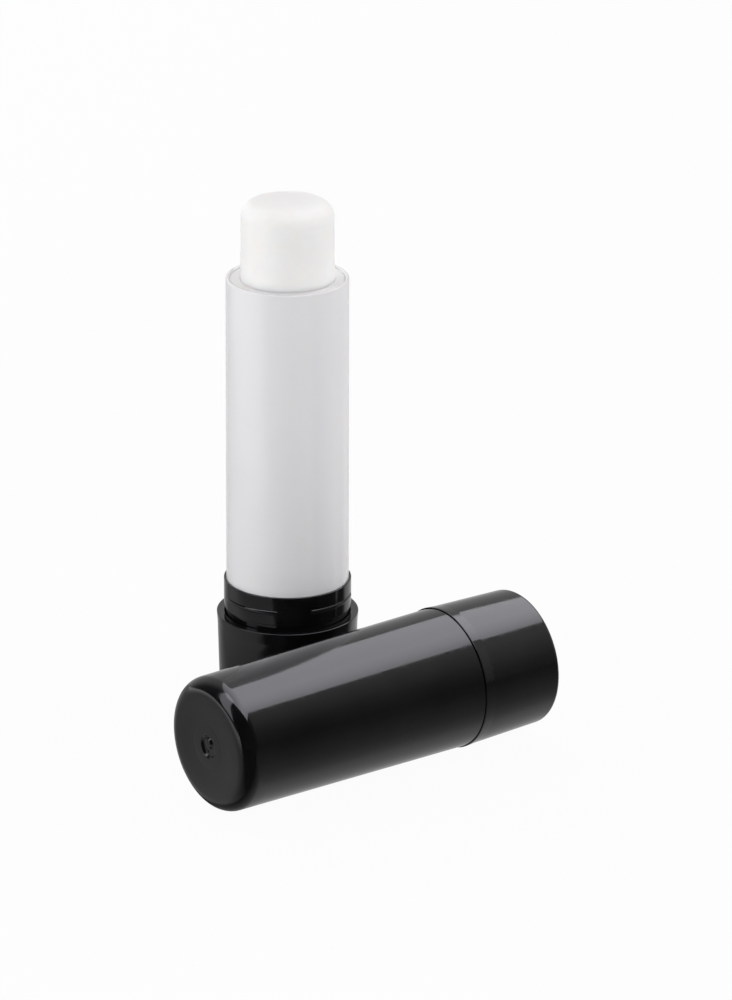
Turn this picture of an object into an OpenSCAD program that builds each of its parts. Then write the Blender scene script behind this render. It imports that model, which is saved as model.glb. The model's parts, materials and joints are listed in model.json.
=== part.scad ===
// Two twist-up lip balm sticks of one design: one open and standing, one capped and lying beside it.
// Own frame: origin at the centre of the standing stick's foot, +Z up along its axis,
// +X along the lying stick, from its closed end towards its twist base.
// Every piece of a stick is drawn upright, foot on z = 0, and then placed.

/* [Balm] */
// Diameter of the balm where it leaves the tube
balm_d = 13; // [11:0.1:15]
// How much narrower the balm is at its top than where it leaves the tube
balm_draft = 0.2; // [0:0.02:0.5]
// Radius of the balm's upper edge
balm_edge_r = 2.2; // [1:0.1:3]
// Rise of the balm's slightly domed top
balm_dome = 0.3; // [0.1:0.1:0.6]
// How far the balm stands out of the open tube
balm_out = 11.1; // [4:0.1:18]
// Depth of the balm's top below the rim when it is wound down
balm_sink = 2; // [1:0.1:4]
// Thickness of the balm above the spindle's tip when it is wound down
balm_crown = 4; // [2:0.5:8]
// Free height in the balm above the spindle's tip
channel_gap = 0.5; // [0.3:0.1:1]

/* [Inner sleeve] */
// Clearance round the balm and the carrier in the sleeve
slide_gap = 0.1; // [0.06:0.01:0.2]
// Wall of the sleeve
sleeve_wall = 0.8; // [0.7:0.05:1.1]
// Thickness of the flange that fills the barrel's mouth
flange_t = 0.9; // [0.6:0.1:1.6]
// Depth of the flange below the barrel's rim
flange_drop = 0.8; // [0.4:0.1:1.6]
// Bevel of the flange's inner edge, round the balm
flange_bevel = 0.2; // [0.1:0.05:0.3]
// Height of the sleeve's foot above the spindle's flange
sleeve_lift = 0.3; // [0.2:0.1:1]
// Height of the carrier's keys, which run in grooves of the sleeve
key_h = 0.3; // [0.2:0.05:0.35]
// Width of the keys
key_w = 1.6; // [1:0.1:2.4]
// Length at the sleeve's top that the key grooves leave whole
key_stop = 1.5; // [1.2:0.1:4]

/* [Barrel] */
// Height of the open stick's barrel above its collar
barrel_h = 44; // [30:0.5:60]
// Wall of the barrel
barrel_wall = 0.85; // [0.75:0.05:1.2]
// Air gap between the sleeve and the barrel
barrel_air = 0.3; // [0.2:0.05:0.6]
// How much narrower the barrel is at its rim than at its foot
barrel_draft = 0.1; // [0:0.02:0.2]
// Wall of the barrel's rim, round the sleeve's flange
rim_wall = 0.55; // [0.45:0.05:0.7]
// Length of the spigot by which the barrel stands in the collar
spigot_h = 5; // [3:0.5:8]
// Wall of the spigot
spigot_wall = 0.45; // [0.4:0.05:0.6]
// Height of the thick foot of the barrel, above its spigot
barrel_foot_h = 1.2; // [0.8:0.1:2]

/* [Collar] */
// Height of the collar above the shoulder of the base
collar_h = 5; // [4:0.25:7]
// Step from the barrel out to the collar
collar_step = 0.35; // [0.3:0.05:0.6]
// Height of the groove between the collar's band and the shoulder
groove_h = 0.9; // [0.5:0.1:1.2]
// Depth of that groove
groove_depth = 0.25; // [0.2:0.05:0.35]
// Depth of the seat in the collar's rim that takes the barrel
seat_depth = 0.5; // [0.3:0.1:1]
// Length of the skirt that turns inside the base
skirt_h = 7.8; // [6:0.1:8.4]
// How far the ring on the skirt stands out, which holds it in the base
ring_proud = 0.2; // [0.1:0.05:0.25]
// Height of that ring at its root
ring_h = 1.2; // [1:0.1:1.6]
// How far the snap bead stands out of the band
bead_proud = 0.13; // [0.08:0.01:0.16]
// Height of the snap bead at its root
bead_w = 0.6; // [0.4:0.1:1]
// Height of the snap bead at its crest
bead_crest = 0.24; // [0.1:0.02:0.36]
// Number of snap bead segments round the collar
bead_count = 4; // [2:1:5]
// Angle that each bead segment spans
bead_span = 61; // [30:1:65]
// Turn of the bead pattern, so that its gaps face as they do in the photo
bead_turn = 16.1; // [0:0.1:90]

/* [Twist base] */
// Height of the base from its foot to its shoulder
base_h = 13; // [12:0.5:18]
// Wall of the base below its lip
base_wall = 1.05; // [0.9:0.05:1.4]
// How much narrower the base is at its foot than below its lip, on the radius
base_taper = 0.3; // [0:0.05:0.5]
// How far the lip flares out of the wall
lip_proud = 0.12; // [0.04:0.02:0.3]
// Height of the lip's flare
lip_h = 1.6; // [0.5:0.1:2.4]
// Bevel of the base's inner edge at the shoulder
mouth_bevel = 0.13; // [0.05:0.01:0.3]
// Floor of the base
base_floor = 1.6; // [1.2:0.1:2.2]
// Radius of the foot's outer edge
foot_edge_r = 0.6; // [0.2:0.1:0.8]
// Width of the ledge on which the collar's skirt turns
ledge_w = 0.5; // [0.4:0.05:0.8]
// Height of the hexagonal socket above the floor
socket_h = 3.9; // [3:0.1:4.2]
// Wall of the socket at its corners
socket_wall = 1; // [0.8:0.1:1.6]
// Number of ribs round the socket
rib_count = 6; // [3:1:12]
// Thickness of the ribs
rib_t = 0.8; // [0.6:0.1:1.4]
// Depth of the ribs' top below the ledge
rib_drop = 0.4; // [0.2:0.1:1]

/* [Spindle] */
// Diameter of the spindle's core
core_d = 4; // [3.4:0.1:4.4]
// Diameter over the thread
thread_d = 5.8; // [5.4:0.1:6.2]
// Rise of the thread in one turn
lead = 4; // [3.5:0.25:6]
// Width of the ridge where it meets the core
ridge_root = 1.5; // [1:0.1:1.6]
// Width of the ridge at its crest
ridge_crest = 0.9; // [0.5:0.1:0.9]
// Length of plain core above the thread
thread_stop = 1; // [0.5:0.1:2]
// Bevel of the spindle's tip
tip_bevel = 0.5; // [0.2:0.1:1]
// Width across the corners of the hexagonal foot
hex_d = 6; // [5:0.1:6.6]
// Diameter of the spindle's flange
spindle_flange_d = 12.2; // [10:0.1:12.4]
// Thickness of the spindle's flange
spindle_flange_t = 1; // [0.6:0.1:1.4]

/* [Carrier] */
// Height of the cup round the balm's foot
cup_h = 5; // [3:0.5:8]
// Wall of the cup
cup_wall = 0.6; // [0.5:0.05:1]
// Floor of the cup
cup_floor = 1.2; // [0.8:0.1:2]
// Length of the nut
nut_h = 5; // [5:0.5:8]
// Wall of the nut
nut_wall = 1.2; // [0.8:0.1:1.6]
// Height of the nut's foot above the spindle's flange when it is wound down
nut_lift = 0.5; // [0.3:0.1:2]
// Height at which the nut's inner ridge starts, above the nut's foot
nut_ridge_up = 1.5; // [1.4:0.1:2]
// Angle that the nut's inner ridge spans
nut_span = 120; // [60:10:120]

/* [Cap] */
// Length of the cap
cap_len = 39.5; // [32:0.5:60]
// Wall of the cap round the collar
cap_wall = 0.66; // [0.6:0.01:1]
// How much narrower the cap is at its closed end, on the radius
cap_taper = 0.4; // [0:0.05:0.5]
// Radius of the edge at the closed end
cap_edge_r = 2.2; // [1:0.1:3]
// Thickness of the closed end
cap_end = 1.2; // [1:0.1:2]
// Radius of the inner edge at the closed end
cap_inner_edge_r = 1.2; // [0.5:0.1:2]
// Clearance between the cap's inside and the barrel
cap_air = 0.15; // [0.1:0.01:0.25]
// Free height between the rim of the barrel and the cap's closed end
cap_headroom = 1; // [0.5:0.1:3]
// Depth of the hollow face of the closed end
cap_dish = 0.1; // [0:0.02:0.3]
// Height above the collar at which the cap's bore narrows to its inside
cap_step = 0.4; // [0.3:0.1:1]
// Height of that narrowing
cap_step_h = 0.3; // [0.2:0.1:1]
// Depth of the groove in the cap's bore for the snap beads
bead_groove = 0.12; // [0.06:0.01:0.16]
// Diameter of the moulding mark in the middle of the closed end
gate_d = 3.5; // [2:0.1:5]
// Depth of the moulding mark
gate_depth = 0.35; // [0.1:0.05:0.5]
// Diameter of the sprue's stub in the moulding mark
stub_d = 1.1; // [0.6:0.1:1.6]

/* [Placing of the lying stick] */
// Place of its seam along X
lie_x = 6.9; // [-10:0.1:20]
// Distance of its axis from the standing stick's axis
lie_y = 27.1; // [24:0.1:60]

/* [Fits] */
// Radial clearance where one piece turns in another
run_gap = 0.1; // [0.05:0.01:0.2]
// Clearance between faces that turn on each other
thrust_gap = 0.1; // [0.05:0.01:0.2]
// Clearance of pieces that are pressed or set together
seat_gap = 0.02; // [0.01:0.01:0.05]
// Clearance round the ring that holds the collar in the base
ring_gap = 0.15; // [0.1:0.01:0.2]
// Gap between the cap's mouth and the shoulder of the base
seam_gap = 0.05; // [0.03:0.01:0.2]
// Clearance between the cap's bore and the snap bead
cap_gap = 0.06; // [0.05:0.01:0.1]
// Clearance between the thread and the nut
thread_gap = 0.15; // [0.1:0.01:0.2]
// Bevel that breaks a small edge
edge = 0.1; // [0.05:0.01:0.15]

/* [Hidden] */
$fn = 96;

// How far a cut runs past the face that it opens, and how deep a rib or ridge is rooted
over = 1;
root = 0.2;
// The ridge's steps in one turn
turn_steps = 20;

// Radii, from the balm outwards
balm_r = balm_d / 2;
carrier_r = balm_r;
sleeve_bore_r = balm_r + slide_gap;
sleeve_r = sleeve_bore_r + sleeve_wall;
spigot_bore_r = sleeve_r + seat_gap;
spigot_r = spigot_bore_r + spigot_wall;
barrel_bore_r = sleeve_r + barrel_air;
barrel_foot_r = barrel_bore_r + barrel_wall;
barrel_rim_r = barrel_foot_r - barrel_draft / 2;
mouth_r = barrel_rim_r - rim_wall;
collar_r = barrel_foot_r + collar_step;
collar_neck_r = collar_r - groove_depth;
collar_bore_r = spigot_r + seat_gap;
base_bore_r = collar_neck_r + run_gap;
base_top_r = base_bore_r + base_wall;
base_lip_r = base_top_r + lip_proud;
base_foot_r = base_top_r - base_taper;
bead_r = collar_r + bead_proud;
cap_bore_r = bead_r + cap_gap;
cap_mouth_r = cap_bore_r + cap_wall;
cap_end_r = cap_mouth_r - cap_taper;
cap_inner_r = barrel_foot_r + cap_air;
core_r = core_d / 2;
thread_r = thread_d / 2;
nut_bore_r = thread_r + thread_gap;
hex_r = hex_d / 2;

// Heights on a stick
skirt_z = base_h - skirt_h;
ring_z = skirt_z + skirt_h / 2;
ledge_z = skirt_z - thrust_gap;
socket_z = base_floor + socket_h;
spindle_flange_z = socket_z + spindle_flange_t;
band_z = base_h + groove_h;
collar_z = base_h + collar_h;
barrel_z = collar_z - seat_depth;
bead_z = (band_z + barrel_z) / 2;
nut_z = spindle_flange_z + nut_lift;
nut_ridge_z = nut_z + nut_ridge_up;
cup_floor_z = nut_z + nut_h;
sleeve_z = spindle_flange_z + sleeve_lift;
cap_z = base_h + seam_gap;
cap_end_z = cap_z + cap_len;
cap_roof_z = cap_end_z - cap_end;
cap_step_z = collar_z + cap_step;

// Heights that differ between the two sticks
open_rim_z = collar_z + barrel_h;
closed_rim_z = cap_roof_z - cap_headroom;
open_rise = balm_out + balm_sink;

// Axis of the lying stick: it rests on the lip of its base and on the edge of its cap
lie_tilt = atan((base_lip_r - cap_end_r) / (cap_len + seam_gap - cap_edge_r));

// Points along a round stretch of an outline, from angle a to angle b
function arc(x, z, r, a, b, n = 8) =
    [for (i = [0:n]) [x + r * cos(a + (b - a) * i / n), z + r * sin(a + (b - a) * i / n)]];

// Height of the spindle's top, for a barrel with its rim at this height
function spindle_top(rim) = rim - balm_sink - balm_crown;

module turned(points) rotate_extrude() polygon(points);

module cylinder_z(r, z0, z1) translate([0, 0, z0]) cylinder(r = r, h = z1 - z0);

// A left-hand helical ridge from z0, with its foot at radius r_foot and its crest at radius r_tip
module ridge(z0, turns, r_foot, r_tip, foot_w, tip_w) {
    steps = ceil(turns * turn_steps);
    section = [[r_foot, -foot_w / 2], [r_tip, -tip_w / 2], [r_tip, tip_w / 2], [r_foot, foot_w / 2]];
    pts = [for (i = [0:steps]) let (a = -360 * turns * i / steps, z = z0 + lead * turns * i / steps)
        each [for (p = section) [p[0] * cos(a), p[0] * sin(a), z + p[1]]]];
    sides = [for (i = [0:steps - 1], j = [0:3]) let (k = (j + 1) % 4, p = 4 * i, q = 4 * i + 4)
        each [[p + j, p + k, q + k], [p + j, q + k, q + j]]];
    last = 4 * steps;
    ends = [[3, 2, 1], [3, 1, 0], [last, last + 1, last + 2], [last, last + 2, last + 3]];
    faces = concat(sides, ends);
    inward = r_tip < r_foot;
    polyhedron(pts, inward ? faces : [for (f = faces) [f[2], f[1], f[0]]], convexity = 10);
}

// Twist base: a tapered cup with a flared lip, a ledge for the collar and a ribbed socket
module base() {
    cavity_r = base_bore_r - ledge_w;
    groove_r = collar_neck_r + ring_proud + ring_gap;
    groove_half = ring_h / 2 - ring_proud + ring_gap;
    groove_slope = groove_r - base_bore_r;
    outer = concat([[0, 0]], arc(base_foot_r - foot_edge_r, foot_edge_r, foot_edge_r, -90, 0),
        [[base_top_r, base_h - lip_h], [base_lip_r, base_h - edge], [base_lip_r - edge, base_h]]);
    inner = [[base_bore_r + mouth_bevel, base_h], [base_bore_r, base_h - mouth_bevel],
        [base_bore_r, ring_z + groove_half + groove_slope], [groove_r, ring_z + groove_half],
        [groove_r, ring_z - groove_half], [base_bore_r, ring_z - groove_half - groove_slope],
        [base_bore_r, ledge_z], [cavity_r, ledge_z], [cavity_r, base_floor], [0, base_floor]];
    difference() {
        union() {
            turned(concat(outer, inner));
            cylinder(r = hex_r + socket_wall, h = socket_z);
            for (i = [0:rib_count - 1])
                rotate([0, 0, 360 * i / rib_count])
                    translate([hex_r, -rib_t / 2, 0])
                        cube([cavity_r + root - hex_r, rib_t, ledge_z - rib_drop]);
        }
        translate([0, 0, base_floor])
            cylinder(r = hex_r + seat_gap, h = socket_h + over, $fn = 6);
    }
}

// Spindle: hexagonal foot, flange, and a core with one coarse left-hand thread
module spindle(rim) {
    top = spindle_top(rim);
    flange_r = spindle_flange_d / 2;
    seat_z = socket_z + seat_gap;
    thread_h = top - thread_stop - spindle_flange_z - ridge_root;
    translate([0, 0, base_floor + seat_gap])
        cylinder(r = hex_r, h = socket_h, $fn = 6);
    turned([[0, seat_z], [flange_r - edge, seat_z], [flange_r, seat_z + edge],
        [flange_r, spindle_flange_z], [core_r, spindle_flange_z],
        [core_r, top - tip_bevel], [core_r - tip_bevel, top], [0, top]]);
    // turned so that it runs midway between two turns of the nut's ridge
    rotate([0, 0, 360 * (nut_ridge_z + lead / 2 - spindle_flange_z) / lead])
        ridge(spindle_flange_z, thread_h / lead, core_r - root, thread_r, ridge_root, ridge_crest);
}

// Collar: a band for the cap with snap beads, a groove, and a skirt that turns in the base
module collar() {
    seat_r = barrel_foot_r + seat_gap;
    ring_r = collar_neck_r + ring_proud;
    ring_crest = ring_h / 2 - ring_proud;
    turned([[collar_bore_r, skirt_z], [collar_neck_r, skirt_z],
        [collar_neck_r, ring_z - ring_h / 2], [ring_r, ring_z - ring_crest],
        [ring_r, ring_z + ring_crest], [collar_neck_r, ring_z + ring_h / 2],
        [collar_neck_r, band_z - edge], [collar_r - edge, band_z], [collar_r, band_z + edge],
        [collar_r, collar_z - edge], [collar_r - edge, collar_z],
        [seat_r, collar_z], [seat_r, barrel_z], [collar_bore_r, barrel_z]]);
    for (i = [0:bead_count - 1])
        rotate([0, 0, bead_turn + 360 * i / bead_count - bead_span / 2])
            rotate_extrude(angle = bead_span)
                polygon([[collar_r - root, bead_z - bead_w / 2], [collar_r, bead_z - bead_w / 2],
                    [bead_r, bead_z - bead_crest / 2], [bead_r, bead_z + bead_crest / 2],
                    [collar_r, bead_z + bead_w / 2], [collar_r - root, bead_z + bead_w / 2]]);
}

// Barrel: a drafted tube with a rounded rim, a mouth for the sleeve's flange and a spigot
module barrel(rim) {
    flange_z = rim - flange_drop - flange_t;
    foot_z = barrel_z + seat_gap;
    edge_r = rim_wall / 2;
    turned(concat([[spigot_bore_r, foot_z - spigot_h], [spigot_r, foot_z - spigot_h],
        [spigot_r, foot_z], [barrel_foot_r, foot_z]],
        arc(barrel_rim_r - edge_r, rim - edge_r, edge_r, 0, 180),
        [[mouth_r, flange_z - seat_gap], [barrel_bore_r, flange_z - seat_gap],
         [barrel_bore_r, foot_z + barrel_foot_h], [spigot_bore_r, foot_z + barrel_foot_h]]));
}

// Inner sleeve: the guide tube of the carrier, with key grooves and a flange in the barrel's mouth
module sleeve(rim) {
    flange_top = rim - flange_drop;
    groove_w = key_w + 2 * slide_gap;
    groove_r = sleeve_bore_r + key_h;
    difference() {
        turned([[sleeve_bore_r, sleeve_z], [sleeve_r, sleeve_z],
            [sleeve_r, flange_top - flange_t], [mouth_r - seat_gap, flange_top - flange_t],
            [mouth_r - seat_gap, flange_top], [sleeve_bore_r + flange_bevel, flange_top],
            [sleeve_bore_r, flange_top - flange_bevel]]);
        translate([-groove_r, -groove_w / 2, sleeve_z - over])
            cube([2 * groove_r, groove_w, flange_top - key_stop - sleeve_z + over]);
    }
}

// Carrier: a cup for the balm's foot on a nut with one inner ridge, kept from turning by two keys
module carrier(rise) {
    translate([0, 0, rise]) {
        difference() {
            union() {
                cylinder_z(nut_bore_r + nut_wall, nut_z, cup_floor_z);
                cylinder_z(carrier_r, cup_floor_z - cup_floor, cup_floor_z + cup_h);
                for (side = [0, 180])
                    rotate([0, 0, side])
                        translate([0, -key_w / 2, cup_floor_z - cup_floor])
                            cube([carrier_r + key_h, key_w, cup_floor + cup_h]);
            }
            cylinder_z(nut_bore_r, nut_z - over, cup_floor_z + over);
            cylinder_z(carrier_r - cup_wall, cup_floor_z, cup_floor_z + cup_h + over);
        }
        nut_ridge();
    }
}

// The nut's ridge, which fills the thread's gap but for its clearance
module nut_ridge() {
    tip_r = core_r + thread_gap;
    foot_r = nut_bore_r + root;
    tip_w = lead - ridge_root - 2 * thread_gap;
    slope = (ridge_root - ridge_crest) / (thread_r - core_r + root);
    ridge(nut_ridge_z, nut_span / 360, foot_r, tip_r, tip_w + slope * (foot_r - tip_r), tip_w);
}

// Balm: a round bar with a domed top, cast round the spindle
module balm(rim, rise) {
    top = rim - balm_sink;
    edge_x = balm_r - balm_draft / 2 - balm_edge_r;
    edge_z = top - balm_dome - balm_edge_r;
    foot_z = cup_floor_z + seat_gap;
    neck_z = foot_z + cup_h;
    foot_r = carrier_r - cup_wall - seat_gap;
    channel_r = nut_bore_r;
    channel_z = spindle_top(rim) + channel_gap;
    translate([0, 0, rise])
        turned(concat([[channel_r, foot_z], [foot_r, foot_z], [foot_r, neck_z], [balm_r, neck_z],
            [balm_r, top - balm_out]], arc(edge_x, edge_z, balm_edge_r, 0, 80),
            [[edge_x / 2, top - balm_dome / 4], [0, top], [0, channel_z + channel_r / 2],
             [channel_r, channel_z]]));
}

// Cap: a drafted cup with a rounded closed end and a groove for the snap beads
module cap() {
    face_r = cap_end_r - cap_edge_r;
    face_z = cap_end_z - cap_dish;
    groove_r = cap_bore_r + bead_groove;
    difference() {
        turned(concat([[cap_bore_r + edge, cap_z], [cap_mouth_r - edge, cap_z], [cap_mouth_r, cap_z + edge]],
            arc(face_r, cap_end_z - cap_edge_r, cap_edge_r, 0, 90),
            [[face_r / 2, cap_end_z - cap_dish * 3 / 4], [0, face_z], [0, cap_roof_z]],
            arc(cap_inner_r - cap_inner_edge_r, cap_roof_z - cap_inner_edge_r, cap_inner_edge_r, 90, 0),
            [[cap_inner_r, cap_step_z + cap_step_h], [cap_bore_r, cap_step_z],
             [cap_bore_r, bead_z + bead_w], [groove_r, bead_z + bead_w - bead_groove],
             [groove_r, bead_z - bead_w + bead_groove], [cap_bore_r, bead_z - bead_w],
             [cap_bore_r, cap_z + edge]]));
        difference() {
            translate([0, 0, face_z - gate_depth])
                cylinder(r1 = gate_d / 2 - gate_depth, r2 = gate_d / 2 + over, h = gate_depth + over);
            cylinder_z(stub_d / 2, cap_roof_z, face_z - edge);
        }
    }
}

module upright(rise) rotate([0, 0, 360 * rise / lead]) children();

module lying()
    translate([lie_x, -lie_y, base_lip_r * cos(lie_tilt)])
        rotate([0, -90 - lie_tilt, 0])
            translate([0, 0, -base_h]) children();

black = [0.07, 0.07, 0.08];
white = [0.92, 0.92, 0.93];
natural = [0.88, 0.89, 0.86];
wax = [0.95, 0.93, 0.90];

module open_base() color(black) upright(open_rise) base();
module open_spindle() color(natural) upright(open_rise) spindle(open_rim_z);
module open_collar() color(black) collar();
module open_barrel() color(white) barrel(open_rim_z);
module open_sleeve() color(natural) sleeve(open_rim_z);
module open_carrier() color(natural) carrier(open_rise);
module open_balm() color(wax) balm(open_rim_z, open_rise);
module closed_base() color(black) lying() base();
module closed_spindle() color(natural) lying() spindle(closed_rim_z);
module closed_collar() color(black) lying() collar();
module closed_barrel() color(white) lying() barrel(closed_rim_z);
module closed_sleeve() color(natural) lying() sleeve(closed_rim_z);
module closed_carrier() color(natural) lying() carrier(0);
module closed_balm() color(wax) lying() balm(closed_rim_z, 0);
module closed_cap() color(black) lying() cap();

open_base();
open_spindle();
open_collar();
open_barrel();
open_sleeve();
open_carrier();
open_balm();
closed_base();
closed_spindle();
closed_collar();
closed_barrel();
closed_sleeve();
closed_carrier();
closed_balm();
closed_cap();
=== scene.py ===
import json
import math

import bpy
from mathutils import Matrix, Vector


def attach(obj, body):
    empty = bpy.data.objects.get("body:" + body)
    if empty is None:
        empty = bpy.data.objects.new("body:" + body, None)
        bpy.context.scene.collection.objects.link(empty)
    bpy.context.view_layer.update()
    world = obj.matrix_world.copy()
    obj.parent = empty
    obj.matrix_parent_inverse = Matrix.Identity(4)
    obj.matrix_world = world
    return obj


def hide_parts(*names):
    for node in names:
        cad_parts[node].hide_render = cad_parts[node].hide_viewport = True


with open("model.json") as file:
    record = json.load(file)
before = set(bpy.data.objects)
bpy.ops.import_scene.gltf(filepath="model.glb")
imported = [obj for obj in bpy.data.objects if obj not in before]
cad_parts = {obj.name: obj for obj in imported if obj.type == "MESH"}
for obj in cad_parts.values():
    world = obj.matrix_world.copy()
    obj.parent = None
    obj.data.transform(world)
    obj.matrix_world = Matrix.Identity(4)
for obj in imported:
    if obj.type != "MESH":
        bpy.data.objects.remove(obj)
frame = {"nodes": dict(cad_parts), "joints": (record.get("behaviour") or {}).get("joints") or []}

MM = 0.001
TAU = 2 * math.pi
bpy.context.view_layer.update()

# Sizes in millimetres, as in the part's source. A stick is drawn upright, foot on z = 0.
BALM_R, BALM_TOP_R, BALM_EDGE_R, BALM_DOME, BALM_OUT = 6.5, 6.4, 2.2, 0.3, 11.1
BALM_DROP = 2.0
SLEEVE_BORE_R, SLEEVE_R, FLANGE_T, FLANGE_DROP = 6.6, 7.4, 0.9, 0.8
BARREL_BORE_R, BARREL_FOOT_R, BARREL_RIM_R, MOUTH_R = 7.7, 8.55, 8.5, 7.95
SPIGOT_BORE_R, SPIGOT_R, SPIGOT_H = 7.42, 7.87, 5.0
COLLAR_R, NECK_R, COLLAR_BORE_R, BEAD_R = 8.9, 8.65, 7.89, 9.03
BASE_BORE_R, BASE_TOP_R, BASE_LIP_R, BASE_FOOT_R = 8.75, 9.8, 9.92, 9.5
BASE_H, BASE_FLOOR, LEDGE_Z, SKIRT_Z, LIP_H = 13.0, 1.6, 5.1, 5.2, 1.6
BAND_Z, BEAD_Z, BARREL_Z, COLLAR_Z = 13.9, 15.7, 17.5, 18.0
SLEEVE_Z, CUP_TOP_Z = 6.8, 17.0
CAP_Z, CAP_LEN, CAP_BORE_R, CAP_MOUTH_R, CAP_END_R = 13.05, 39.5, 9.09, 9.75, 9.35
CAP_EDGE_R, CAP_DISH, CAP_ROOF, GATE_R = 2.2, 0.1, 1.2, 1.75
OPEN_RIM, CLOSED_RIM, OPEN_RISE = 62.0, 50.35, 13.1
BEAD_COUNT, BEAD_TURN, BEAD_SPAN = 4, 16.1, 61.0
MOUTH_BEVEL, LEDGE_W, BORE_STEP = 0.13, 0.5, 1.2
BEAD_GROOVE, BEAD_GROOVE_HALF = 0.12, 0.6

# Details that only this script draws, in millimetres
FIT = 0.02  # gap between pieces that sit on each other
RECESS_R, RECESS_SLOPE, RECESS_H = 7.6, 0.15, 0.12  # recess under the base
FLARE_R = 8  # bend where the base's wall meets its lip
BEAD_HALF_H, BEAD_ROOT, BEAD_RUN_IN, BEAD_FULLNESS = 0.3, 0.015, 0.035, 0.75
FLANGE_RAISE = 0.55  # the photo's ring lies nearly flush with the rim
SLEEVE_LIP_R, SLEEVE_LIP_H, SLEEVE_LIP_SLOPE = 6.54, 0.4, 0.06
BALM_CROWN_DEG, BALM_CROWN_STEPS, BALM_DOME_STEPS = 80, 18, 12
BALM_TIP_GAP = 0.02  # keeps the tip inside the solid's height
BALM_SHIFT = (0.02, -0.015, 0)  # the open balm leans on one side of its sleeve
CAP_ROOM, CAP_STEP_LOW, CAP_STEP_HIGH, CAP_BEVEL = 0.15, 0.4, 0.7, 0.1
DISH_RUN = 4.0
RING_R, RING_W, RING_H = 3.25, 0.13, 0.012
GATE_DEPTH, GATE_RUN, GATE_WAVE = 0.34, 0.42, 0.05
# Nubs in the moulding mark: height, x, y, radius, run, squash along y
NUBS = ((0.36, 0.62, 0.05, 0.85, 0.5, 0.85), (0.2, -0.1, -0.3, 0.3, 0.25, 1),
        (0.15, -0.85, 0.45, 0.32, 0.25, 1))
# Spacing of the cap face's rings of points: outside this radius, this step
FACE_RINGS = ((4, 0.35), (3.6, 0.12), (2.9, 0.05), (2.1, 0.2), (0, 0.05))
FACE_CENTRE_R = 0.06


# ---------------------------------------------------------------- meshes

def rounded(corners, closed=True, steps=6):
    """Points (r, z) with their outward normals (nr, nz), from corners (r, z, fillet radius).
    The corners run anticlockwise as seen with r to the right and z up."""
    n = len(corners)
    out = []
    for i, (r, z, f) in enumerate(corners):
        p = Vector((r, z))
        ends = not closed and i in (0, n - 1)
        a = Vector(corners[i - 1][:2]) if not (ends and i == 0) else None
        b = Vector(corners[(i + 1) % n][:2]) if not (ends and i == n - 1) else None
        da = (p - a).normalized() if a is not None else None
        db = (b - p).normalized() if b is not None else None
        if ends:
            d = db if da is None else da
            out.append((p, Vector((d.y, -d.x))))
            continue
        turn = math.atan2(da.x * db.y - da.y * db.x, da.dot(db))
        if f == 0 or abs(turn) < 1e-4:
            m = (Vector((da.y, -da.x)) + Vector((db.y, -db.x))).normalized()
            out.append((p, m))
            continue
        cut = f * math.tan(abs(turn) / 2)
        side = 1 if turn > 0 else -1
        start = p - da * cut
        centre = start + Vector((-da.y, da.x)) * f * side
        for k in range(steps + 1):
            t = turn * k / steps
            v = start - centre
            c, s = math.cos(t), math.sin(t)
            w = Vector((v.x * c - v.y * s, v.x * s + v.y * c))
            out.append((centre + w, w.normalized() * side))
    return out


def mesh_object(name, verts, faces, normals=None):
    me = bpy.data.meshes.new(name)
    me.from_pydata([v * MM for v in verts], [], faces)
    me.polygons.foreach_set("use_smooth", [True] * len(me.polygons))
    if normals:
        me.normals_split_custom_set_from_vertices(normals)
    me.validate()
    ob = bpy.data.objects.new(name, me)
    bpy.context.scene.collection.objects.link(ob)
    return ob


def lathe(name, outline, closed=True, segments=192, relief=None):
    """Turns an outline from rounded() about Z. relief(x, y) lifts the points that face straight up."""
    def lifted(v, m):
        if relief is None or m.z < 0.9999:
            return v, m
        e, z = 0.01, relief(v.x, v.y)
        slope_x = (relief(v.x + e, v.y) - z) / e
        slope_y = (relief(v.x, v.y + e) - z) / e
        return v + Vector((0, 0, z)), Vector((-slope_x, -slope_y, 1)).normalized()

    verts, normals, rings = [], [], []
    for p, m in outline:
        if abs(p.x) < 1e-6:
            rings.append([len(verts)])
            v, m = lifted(Vector((0, 0, p.y)), Vector((0, 0, 1 if m.y > 0 else -1)))
            verts.append(v)
            normals.append(m)
            continue
        rings.append(list(range(len(verts), len(verts) + segments)))
        for k in range(segments):
            c, s = math.cos(TAU * k / segments), math.sin(TAU * k / segments)
            v, n = lifted(Vector((p.x * c, p.x * s, p.y)), Vector((m.x * c, m.x * s, m.y)))
            verts.append(v)
            normals.append(n)
    faces = []
    count = len(rings)
    for i in range(count if closed else count - 1):
        a, b = rings[i], rings[(i + 1) % count]
        for k in range(segments):
            j = (k + 1) % segments
            if len(a) == 1 and len(b) == 1:
                continue
            if len(a) == 1:
                faces.append((a[0], b[j], b[k]))
            elif len(b) == 1:
                faces.append((a[k], a[j], b[0]))
            else:
                faces.append((a[k], a[j], b[j], b[k]))
    return mesh_object(name, verts, faces, normals)


def step(x):
    """A smooth step from 0 to 1."""
    x = max(0.0, min(1.0, x))
    return x * x * (3 - 2 * x)


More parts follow.
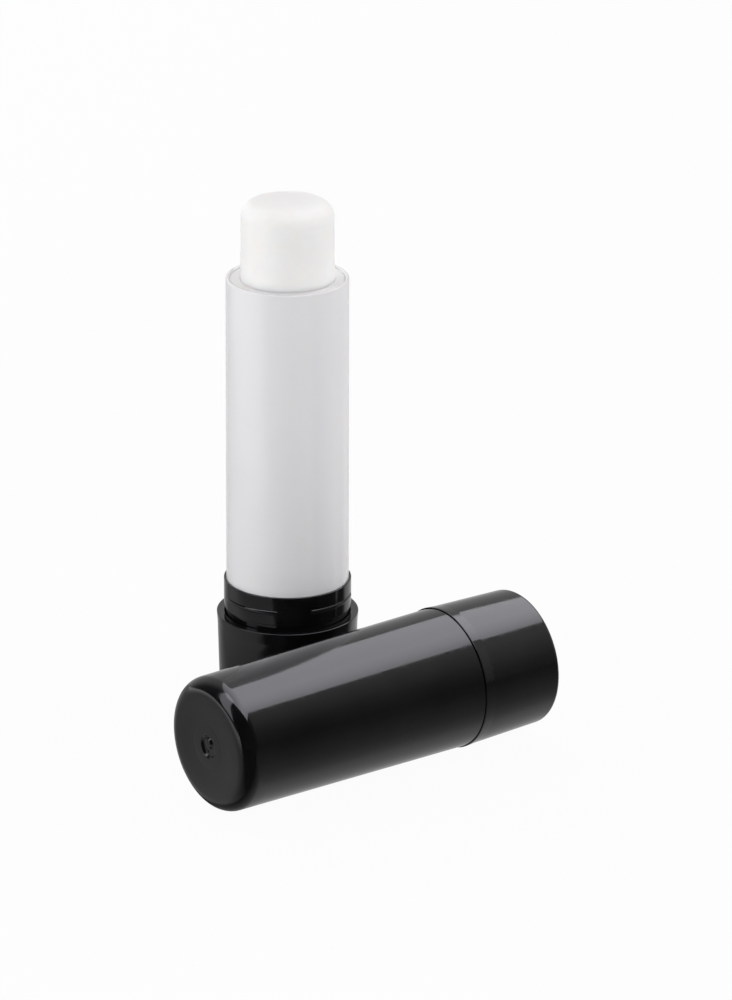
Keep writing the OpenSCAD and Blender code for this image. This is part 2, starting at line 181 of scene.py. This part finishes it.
def base(name):
    """Twist base: a tapered cup with a flared lip and a ledge for the collar."""
    cavity_r = BASE_BORE_R - LEDGE_W
    return lathe(name, rounded([
        (0, RECESS_H, 0), (RECESS_R, RECESS_H, 0.1), (RECESS_R + RECESS_SLOPE, 0, 0.08), (BASE_FOOT_R, 0, 0.6),
        (BASE_TOP_R, BASE_H - LIP_H, FLARE_R), (BASE_LIP_R, BASE_H, 0.1),
        (BASE_BORE_R + MOUTH_BEVEL, BASE_H, 0.04), (BASE_BORE_R, BASE_H - MOUTH_BEVEL, 0.04),
        (BASE_BORE_R, LEDGE_Z, 0.05), (cavity_r, LEDGE_Z, 0.1),
        (cavity_r, BASE_FLOOR, 0.2), (0, BASE_FLOOR, 0)], closed=False), closed=False)


def collar(name):
    """Collar that the cap seats on, and its snap bead segments as pieces of their own."""
    ob = lathe(name, rounded([
        (COLLAR_BORE_R, SKIRT_Z, 0.08), (NECK_R, SKIRT_Z, 0.12), (NECK_R, BAND_Z, 0.1),
        (COLLAR_R, BAND_Z, 0.1), (COLLAR_R, COLLAR_Z, 0.09),
        (BARREL_FOOT_R + FIT, COLLAR_Z, 0.04), (BARREL_FOOT_R + FIT, BARREL_Z, 0.05),
        (COLLAR_BORE_R, BARREL_Z, 0.05)]))
    beads = []
    root = COLLAR_R - BEAD_ROOT
    half = math.radians(BEAD_SPAN / 2)
    lengthwise, across = 72, 12
    for i in range(BEAD_COUNT):
        middle = math.radians(BEAD_TURN + 360 * i / BEAD_COUNT)
        verts, faces = [], []
        for a in range(lengthwise + 1):
            t = -1 + 2 * a / lengthwise
            rise = step((1 - abs(t)) / BEAD_RUN_IN)
            turn = middle + half * t
            for b in range(across + 1):
                w = -1 + 2 * b / across
                r = root + (BEAD_R - root) * rise * (1 - w * w) ** BEAD_FULLNESS
                verts.append(Vector((r * math.cos(turn), r * math.sin(turn), BEAD_Z + BEAD_HALF_H * w)))
        for a in range(lengthwise):
            for b in range(across):
                k = a * (across + 1) + b
                faces.append((k, k + across + 1, k + across + 2, k + 1))
        beads.append(mesh_object(f"{name}_bead_{i + 1}", verts, faces))
    return ob, beads


def barrel(name, rim):
    """White outer tube, with the spigot that is pressed into the collar."""
    foot = BARREL_Z + FIT
    seat = rim - FLANGE_DROP - FLANGE_T - FIT
    return lathe(name, rounded([
        (SPIGOT_BORE_R, foot - SPIGOT_H, 0.05), (SPIGOT_R, foot - SPIGOT_H, 0.1),
        (SPIGOT_R, foot, 0.05), (BARREL_FOOT_R, foot, 0.06), (BARREL_RIM_R, rim, 0.27),
        (MOUTH_R, rim, 0.27), (MOUTH_R, seat, 0.03), (BARREL_BORE_R, seat, 0.03),
        (BARREL_BORE_R, foot + BORE_STEP, 0.05), (SPIGOT_BORE_R, foot + BORE_STEP, 0.05)]))


def sleeve(name, rim):
    """Inner tube with the ring that is seen round the balm."""
    low, top = rim - FLANGE_DROP - FLANGE_T, rim - FLANGE_DROP + FLANGE_RAISE
    ring_r, lip_z = MOUTH_R - FIT, top - SLEEVE_LIP_H
    return lathe(name, rounded([
        (SLEEVE_BORE_R, SLEEVE_Z, 0.1), (SLEEVE_R, SLEEVE_Z, 0.1), (SLEEVE_R, low, 0.1),
        (ring_r, low, 0.1), (ring_r, top, 0.12), (SLEEVE_LIP_R, top, 0.04),
        (SLEEVE_LIP_R, lip_z, 0.02), (SLEEVE_BORE_R, lip_z - SLEEVE_LIP_SLOPE, 0.02)]))


def balm(name, rim, rise):
    """Bar of balm: a straight foot, a slightly tapered top, a round edge and a low dome."""
    top = rim - BALM_DROP + rise
    foot = CUP_TOP_Z + FIT + rise
    edge = Vector((BALM_TOP_R - BALM_EDGE_R, top - BALM_DOME - BALM_EDGE_R))
    outline = rounded([(0, foot, 0), (BALM_R, foot, 0.15), (BALM_R, top - BALM_OUT, 0)], closed=False)
    for k in range(BALM_CROWN_STEPS + 1):
        t = math.radians(BALM_CROWN_DEG * k / BALM_CROWN_STEPS)
        m = Vector((math.cos(t), math.sin(t)))
        outline.append((edge + m * BALM_EDGE_R, m))
    last = outline[-1][0]
    tip = top - BALM_TIP_GAP
    flat, steep = 0.55, 0.45  # shares of the dome that go with the square and the fourth power
    for k in range(1, BALM_DOME_STEPS + 1):
        s = 1 - k / BALM_DOME_STEPS
        z = tip - (tip - last.y) * (flat * s ** 2 + steep * s ** 4)
        slope = (tip - last.y) * (2 * flat * s + 4 * steep * s ** 3) / last.x
        outline.append((Vector((last.x * s, z)), Vector((slope, 1)).normalized()))
    return lathe(name, outline, closed=False)


def cap_face(x, y):
    """Relief of the cap's closed end: a shallow dish with the moulding mark in its middle."""
    r = math.hypot(x, y)
    gate = GATE_R - GATE_WAVE + GATE_WAVE * math.sin(2 * math.atan2(y, x) + 0.6)
    z = -CAP_DISH * step((CAP_END_R - CAP_EDGE_R - r) / DISH_RUN)
    z -= RING_H * math.exp(-((r - RING_R) / RING_W) ** 2)
    z -= GATE_DEPTH * step((gate - r) / GATE_RUN)
    for height, at_x, at_y, radius, run, squash in NUBS:
        z += height * step((radius - math.hypot(x - at_x, (y - at_y) * squash)) / run)
    return z


def cap(name):
    """Cap, with the groove in its bore for the snap beads."""
    end = CAP_Z + CAP_LEN
    roof = end - CAP_ROOF
    inner = BARREL_FOOT_R + CAP_ROOM
    groove_r, groove_half = CAP_BORE_R + BEAD_GROOVE, BEAD_GROOVE_HALF - BEAD_GROOVE
    taper = (CAP_MOUTH_R - CAP_END_R) / (CAP_LEN - CAP_EDGE_R - CAP_BEVEL)
    outline = rounded([
        (0, roof, 0), (inner, roof, 1.2), (inner, COLLAR_Z + CAP_STEP_HIGH, 0.3),
        (CAP_BORE_R, COLLAR_Z + CAP_STEP_LOW, 0.3), (CAP_BORE_R, BEAD_Z + BEAD_GROOVE_HALF, 0.1),
        (groove_r, BEAD_Z + groove_half, 0.1), (groove_r, BEAD_Z - groove_half, 0.1),
        (CAP_BORE_R, BEAD_Z - BEAD_GROOVE_HALF, 0.1), (CAP_BORE_R, CAP_Z + CAP_BEVEL, 0.05),
        (CAP_BORE_R + CAP_BEVEL, CAP_Z, 0.05), (CAP_MOUTH_R, CAP_Z, 0.1),
        (CAP_END_R - CAP_EDGE_R * taper, end, CAP_EDGE_R), (0, end, 0)], closed=False, steps=12)
    middle = outline.pop()
    r = outline[-1][0].x
    while r > FACE_CENTRE_R:
        r -= next(gap for outside, gap in FACE_RINGS if r > outside)
        outline.append((Vector((r, end)), Vector((0, 1))))
    return lathe(name, outline + [middle], closed=False, segments=256, relief=cap_face)


# ---------------------------------------------------------------- materials

def empty_material(name):
    """A material with only its output node."""
    m = bpy.data.materials.new(name)
    m.use_nodes = True
    m.node_tree.nodes.clear()
    return m, m.node_tree, m.node_tree.nodes.new("ShaderNodeOutputMaterial")


def material(name, base_color, roughness, **sockets):
    """A Principled material with its nodes ready to be linked."""
    m, t, out = empty_material(name)
    p = t.nodes.new("ShaderNodeBsdfPrincipled")
    t.links.new(p.outputs[0], out.inputs[0])
    p.inputs["Base Color"].default_value = (*base_color, 1)
    p.inputs["Roughness"].default_value = roughness
    for key, value in sockets.items():
        p.inputs[key.replace("_", " ")].default_value = value
    return m, t, p


def noise(t, scale, detail=2.0, rough=0.5, stretch=(1, 1, 1)):
    """Noise over the object's own coordinates; scale is in features a millimetre."""
    co = t.nodes.new("ShaderNodeTexCoord")
    mp = t.nodes.new("ShaderNodeMapping")
    mp.inputs["Scale"].default_value = stretch
    n = t.nodes.new("ShaderNodeTexNoise")
    n.inputs["Scale"].default_value = scale / MM
    n.inputs["Detail"].default_value = detail
    n.inputs["Roughness"].default_value = rough
    t.links.new(co.outputs["Object"], mp.inputs[0])
    t.links.new(mp.outputs[0], n.inputs["Vector"])
    return n.outputs["Fac"]


def spread(t, value, low, high, to_low, to_high):
    """Maps value from low..high to to_low..to_high, clamped."""
    r = t.nodes.new("ShaderNodeMapRange")
    for socket, x in zip(("From Min", "From Max", "To Min", "To Max"), (low, high, to_low, to_high)):
        r.inputs[socket].default_value = x
    t.links.new(value, r.inputs["Value"])
    return r.outputs["Result"]


def blend_color(t, factor, a, b):
    """The colour a where factor is 0, b where it is 1."""
    m = t.nodes.new("ShaderNodeMix")
    m.data_type = "RGBA"
    m.inputs["A"].default_value = (*a, 1)
    m.inputs["B"].default_value = (*b, 1)
    t.links.new(factor, m.inputs["Factor"])
    return m.outputs["Result"]


def calculate(t, operation, a, b):
    """One arithmetic operation on a and b; b may be a plain number."""
    n = t.nodes.new("ShaderNodeMath")
    n.operation = operation
    t.links.new(a, n.inputs[0])
    if isinstance(b, float):
        n.inputs[1].default_value = b
    else:
        t.links.new(b, n.inputs[1])
    return n.outputs[0]


def choose(t, factor, a, b):
    """The level a where factor is 0, b where it is 1; b may be a plain number."""
    n = t.nodes.new("ShaderNodeMix")
    n.data_type = "FLOAT"
    t.links.new(factor, n.inputs["Factor"])
    t.links.new(a, n.inputs["A"])
    if isinstance(b, float):
        n.inputs["B"].default_value = b
    else:
        t.links.new(b, n.inputs["B"])
    return n.outputs["Result"]


def distance_along(t, vector, direction):
    """How far vector goes along direction."""
    n = t.nodes.new("ShaderNodeVectorMath")
    n.operation = "DOT_PRODUCT"
    n.inputs[1].default_value = direction
    t.links.new(vector, n.inputs[0])
    return n.outputs["Value"]


def ramp(t, value, low, high, stops):
    """A grey level from value, mapped from low..high to 0..1, by stops (place, level)."""
    r = t.nodes.new("ShaderNodeValToRGB")
    e = r.color_ramp.elements
    for i, (at, level) in enumerate(stops):
        point = e[i] if i < len(e) and i < 2 else e.new(at)
        point.position, point.color = at, (level, level, level, 1)
    t.links.new(spread(t, value, low, high, 0, 1), r.inputs["Fac"])
    return r.outputs["Color"]


def add_bump(t, p, layers):
    """layers are (height socket, depth in mm)."""
    normal = None
    for height, depth in layers:
        b = t.nodes.new("ShaderNodeBump")
        b.inputs["Strength"].default_value = 1
        b.inputs["Distance"].default_value = depth * MM
        t.links.new(height, b.inputs["Height"])
        if normal is not None:
            t.links.new(normal, b.inputs["Normal"])
        normal = b.outputs[0]
    t.links.new(normal, p.inputs["Normal"])


def black_plastic(name, streaks):
    m, t, p = material(name, (0.003, 0.003, 0.0034), 0.1, IOR=1.5)
    tint = spread(t, noise(t, 0.12, 3), 0.35, 0.65, 0, 1)
    t.links.new(blend_color(t, tint, (0.0022, 0.0022, 0.0026), (0.0042, 0.0041, 0.0046)),
                p.inputs["Base Color"])
    t.links.new(spread(t, noise(t, 0.9, 4), 0.35, 0.7, 0.07, 0.14), p.inputs["Roughness"])
    add_bump(t, p, [(noise(t, 0.16, 1), 0.012), (noise(t, 0.6, 3, 0.6, streaks), 0.006),
                    (noise(t, 5, 2), 0.0004)])
    return m


def white_plastic(name, streaks):
    m, t, p = material(name, (0.8, 0.8, 0.81), 0.2, IOR=1.49, Subsurface_Weight=0.4,
                       Subsurface_Scale=0.001)
    p.inputs["Subsurface Radius"].default_value = (1.0, 0.9, 0.8)
    tint = spread(t, noise(t, 0.08, 3), 0.3, 0.7, 0, 1)
    t.links.new(blend_color(t, tint, (0.80, 0.79, 0.807), (0.82, 0.81, 0.824)), p.inputs["Base Color"])
    t.links.new(spread(t, noise(t, 0.8, 4), 0.3, 0.7, 0.14, 0.24), p.inputs["Roughness"])
    add_bump(t, p, [(noise(t, 0.12, 1), 0.01), (noise(t, 0.7, 3, 0.6, streaks), 0.004),
                    (noise(t, 6, 2), 0.0004)])
    return m


def natural_plastic(name):
    m, t, p = material(name, (0.86, 0.87, 0.82), 0.35, IOR=1.49, Subsurface_Weight=0.5,
                       Subsurface_Scale=0.0015)
    p.inputs["Subsurface Radius"].default_value = (1.0, 1.0, 0.8)
    tint = spread(t, noise(t, 0.3, 3), 0.3, 0.7, 0, 1)
    t.links.new(blend_color(t, tint, (0.91, 0.915, 0.89), (0.935, 0.94, 0.92)), p.inputs["Base Color"])
    t.links.new(spread(t, noise(t, 1.2, 4), 0.3, 0.7, 0.28, 0.42), p.inputs["Roughness"])
    add_bump(t, p, [(noise(t, 2, 2), 0.002)])
    return m


def wax(name):
    m, t, p = material(name, (0.9, 0.885, 0.87), 0.42, IOR=1.38, Subsurface_Weight=0.8,
                       Subsurface_Scale=0.0018)
    p.inputs["Subsurface Radius"].default_value = (1.0, 0.88, 0.76)
    tint = spread(t, noise(t, 0.25, 4, 0.6), 0.3, 0.7, 0, 1)
    t.links.new(blend_color(t, tint, (0.94, 0.905, 0.895), (0.955, 0.93, 0.922)), p.inputs["Base Color"])
    t.links.new(spread(t, noise(t, 1.5, 5, 0.6), 0.3, 0.7, 0.32, 0.5), p.inputs["Roughness"])
    add_bump(t, p, [(noise(t, 0.35, 2), 0.03), (noise(t, 2.5, 4, 0.6), 0.004)])
    return m


# ---------------------------------------------------------------- the object

# The lying stick's place comes from the axis of its twist joint, whose point lies on the base's top
joints = {j["name"]: j for j in frame["joints"]}
axis = Vector(joints["closed_twist"]["axis"]).normalized()
seam = Vector(joints["closed_twist"]["pos_m"])
side = Vector((0, 1, 0))
lying = Matrix((side.cross(axis), side, axis)).transposed().to_4x4()
lying.translation = seam - axis * BASE_H * MM

# Faint moulding streaks run along each stick
STREAKS = {"open": (1, 1, 0.06), "closed": (0.06, 1, 1)}
BLACK = {stick: black_plastic(f"black_gloss_plastic_{stick}", way) for stick, way in STREAKS.items()}
WHITE = {stick: white_plastic(f"white_gloss_plastic_{stick}", way) for stick, way in STREAKS.items()}
NATURAL = natural_plastic("natural_plastic")
WAX = wax("balm_wax")


def put(ob, look, body, node=None, place=None):
    """Gives a piece its place, its look and its body, and hides the CAD node that it stands for."""
    if place is not None:
        ob.data.transform(place)
    ob.data.materials.append(look)
    if node:
        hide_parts(node)
    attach(ob, body)


for stick, rim, rise, place, bodies in (
        ("open", OPEN_RIM, OPEN_RISE, None, ("twist_bases", "open_tube", "open_lift")),
        ("closed", CLOSED_RIM, 0, lying, ("twist_bases", "closed_tube", "closed_lift"))):
    turning, tube, lift = bodies
    put(base(f"{stick}_twist_base"), BLACK[stick], turning, f"{stick}_base", place)
    band, beads = collar(f"{stick}_snap_collar")
    put(band, BLACK[stick], tube, f"{stick}_collar", place)
    for bead in beads:
        put(bead, BLACK[stick], tube, None, place)
    put(barrel(f"{stick}_white_barrel", rim), WHITE[stick], tube, f"{stick}_barrel", place)
    put(sleeve(f"{stick}_guide_sleeve", rim), NATURAL, tube, f"{stick}_sleeve", place)
    bar = balm(f"{stick}_balm_bar", rim, rise)
    if place is None:
        bar.data.transform(Matrix.Translation(Vector(BALM_SHIFT) * MM))
    put(bar, WAX, lift, f"{stick}_balm", place)
    for inner in ("spindle", "carrier"):
        ob = frame["nodes"][f"{stick}_{inner}"]
        for s in ob.material_slots:
            s.material = NATURAL
put(cap("closed_push_cap"), BLACK["closed"], "closed_cap", "closed_cap", lying)

# ---------------------------------------------------------------- the studio

# The photo's camera: focal length in pixels, place round the standing stick, and turns in radians
PHOTO_H, SENSOR = 1000, 36
F_PX, AZ, FAR, HIGH = 5787.5693, -0.621316, 0.7544847, 0.3100039
YAW, PITCH, ROLL = -0.014466, -0.356197, 0.004473
heading = AZ + YAW
forward = Vector((-math.sin(heading) * math.cos(PITCH), math.cos(heading) * math.cos(PITCH), math.sin(PITCH)))
level_right = Vector((math.cos(heading), math.sin(heading), 0))
level_up = level_right.cross(forward)
right = level_right * math.cos(ROLL) + level_up * math.sin(ROLL)
up = level_up * math.cos(ROLL) - level_right * math.sin(ROLL)
camera = bpy.data.cameras.new("camera")
camera.sensor_fit = "AUTO"
camera.sensor_width = SENSOR
camera.lens = F_PX * SENSOR / PHOTO_H
camera.clip_start, camera.clip_end = 0.01, 20
eye = bpy.data.objects.new("camera", camera)
eye.matrix_world = Matrix((right, up, -forward)).transposed().to_4x4()
eye.location = (FAR * math.sin(AZ), -FAR * math.cos(AZ), HIGH)
bpy.context.scene.collection.objects.link(eye)
bpy.context.scene.camera = eye


def lamp(name, at, target, width, height, radiance, turn=0.0, color=(1, 1, 1), fade=None,
         seen=True, lights=True):
    """A rectangular soft box of one radiance, facing target. seen: it shows in gloss.
    lights: it lights diffuse surfaces. fade: the stops of its radiance along a direction."""
    data = bpy.data.lights.new(name, "AREA")
    data.shape = "RECTANGLE"
    data.size, data.size_y = width, height
    data.color = color
    data.energy = radiance * width * height * math.pi
    ob = bpy.data.objects.new(name, data)
    down = (Vector(target) - Vector(at)).normalized()
    ob.rotation_mode = "QUATERNION"
    ob.rotation_quaternion = down.to_track_quat("-Z", "Y") @ Matrix.Rotation(turn, 3, "Z").to_quaternion()
    ob.location = at
    ob.visible_camera = False
    ob.visible_glossy = seen
    ob.visible_diffuse = ob.visible_transmission = lights
    if fade:
        direction, low, high, stops = fade
        data.use_nodes = True
        t = data.node_tree
        position = t.nodes.new("ShaderNodeNewGeometry").outputs["Position"]
        level = ramp(t, distance_along(t, position, direction), low, high, stops)
        t.links.new(level, t.nodes["Emission"].inputs["Strength"])
    bpy.context.scene.collection.objects.link(ob)
    return ob


# The box overhead and the strip at the left show in gloss, the fills light the matt surfaces
BOX = ((0.1045, 0.0068, 0.25), (0.1045, 0.0068, 0), 0.47, 0.30)
BOX_TURN = math.radians(29)
BOX_FRONT = (math.sin(BOX_TURN), -math.cos(BOX_TURN), 0)
COOL = (1, 0.985, 1.07)
FILL_FAR, FILL_SIZE, FILL_TARGET = 0.5, (0.4, 0.3), (0, 0, 0.04)
FILLS = (("left_fill", 165, 0.15, 2.9), ("back_fill", 90, 0.35, 3.0),
         ("front_fill", -130, 0.12, 2.6), ("right_fill", -40, 0.08, 3.6))  # azimuth, height, radiance
lamp("overhead_box", *BOX, 3.6, BOX_TURN, COOL, lights=False,
     fade=(BOX_FRONT, -0.107, 0.193, ((0, 0.45), (0.35, 0.75), (0.65, 1), (0.8, 0.95), (1, 0.72))))
lamp("overhead_fill", *BOX, 3.05, BOX_TURN, seen=False)
lamp("left_strip", (-0.44, 0.12, 0.4), (-0.03, -0.02, 0.02), 0.24, 0.8, 2.4, 0, COOL, lights=False,
     fade=((0, 0, 1), 0.0, 0.6, ((0, 0.3), (0.3, 0.8), (1, 1))))
for name, azimuth, height, radiance in FILLS:
    a = math.radians(azimuth)
    lamp(name, (FILL_FAR * math.cos(a), FILL_FAR * math.sin(a), height), FILL_TARGET, *FILL_SIZE, radiance,
         seen=False)

# The floor: paper that the camera sees as white, apart from the sticks' faint shadow; in gloss it glows with
# painted light and painted shade
FLOOR_HALF, FLOOR_DROP, PAPER_GLOW = 3, 0.00002, 0.96
floor_mesh = bpy.data.meshes.new("floor")
floor_mesh.from_pydata([(-FLOOR_HALF, -FLOOR_HALF, 0), (FLOOR_HALF, -FLOOR_HALF, 0),
                        (FLOOR_HALF, FLOOR_HALF, 0), (-FLOOR_HALF, FLOOR_HALF, 0)], [], [(0, 1, 2, 3)])
floor = bpy.data.objects.new("floor", floor_mesh)
floor.location.z = -FLOOR_DROP
bpy.context.scene.collection.objects.link(floor)
m, t, out = empty_material("floor_paper")
paper = t.nodes.new("ShaderNodeBsdfDiffuse")
paper.inputs["Color"].default_value = (0.74, 0.74, 0.745, 1)
glow = t.nodes.new("ShaderNodeEmission")
mix = t.nodes.new("ShaderNodeMixShader")
path = t.nodes.new("ShaderNodeLightPath")
seen = calculate(t, "MULTIPLY", path.outputs["Is Camera Ray"], PAPER_GLOW)
t.links.new(calculate(t, "MAXIMUM", seen, path.outputs["Is Glossy Ray"]), mix.inputs[0])
# In gloss the paper glows with painted light and painted shade: bright round the sticks, falling off to
# painted shade in front of them and to the left
position = t.nodes.new("ShaderNodeNewGeometry").outputs["Position"]
x, y = distance_along(t, position, (1, 0, 0)), distance_along(t, position, (0, 1, 0))
ahead = ramp(t, y, -0.12, -0.02, ((0, 0.1), (0.45, 0.14), (0.65, 0.19), (0.75, 0.28), (0.8, 0.42),
                                  (0.83, 0.6), (0.92, 0.6), (0.95, 0.05)))
near = calculate(t, "MULTIPLY", ahead, spread(t, x, -0.034, -0.026, 0.05, 1))
behind = ramp(t, x, -0.12, 0.03, ((0, 1.2), (0.4, 0.34), (0.5, 0.36), (0.573, 0.5), (0.63, 0.4),
                                  (0.7, 0.25), (0.88, 0.6), (1, 0.65)))
edge = calculate(t, "SUBTRACT", y, spread(t, x, -0.034, -0.03, -0.025, 0))
level = choose(t, spread(t, edge, -0.012, -0.004, 0, 1), near, behind)
t.links.new(choose(t, path.outputs["Is Camera Ray"], level, 1.0), glow.inputs["Strength"])
t.links.new(paper.outputs[0], mix.inputs[1])
t.links.new(glow.outputs[0], mix.inputs[2])
t.links.new(mix.outputs[0], out.inputs[0])
floor_mesh.materials.append(m)

# The room: pale behind and to the right, dark elsewhere, white where the camera looks past the floor
PALE_SIDE = (0.823, 0.475, 0.3)
world = bpy.data.worlds.new("studio")
bpy.context.scene.world = world
world.use_nodes = True
t = world.node_tree
t.nodes.clear()
out = t.nodes.new("ShaderNodeOutputWorld")
back = t.nodes.new("ShaderNodeBackground")
direction = t.nodes.new("ShaderNodeTexCoord").outputs["Generated"]
level = ramp(t, distance_along(t, direction, PALE_SIDE), -1, 1, (
    (0, 0.02), (0.37, 0.03), (0.525, 0.1), (0.565, 0.16), (0.6, 0.25), (0.64, 0.4), (0.75, 0.72), (1, 0.72)))
path = t.nodes.new("ShaderNodeLightPath")
t.links.new(choose(t, path.outputs["Is Camera Ray"], level, 1.0), back.inputs["Strength"])
t.links.new(back.outputs[0], out.inputs[0])

bpy.context.scene.view_settings.view_transform = "Standard"
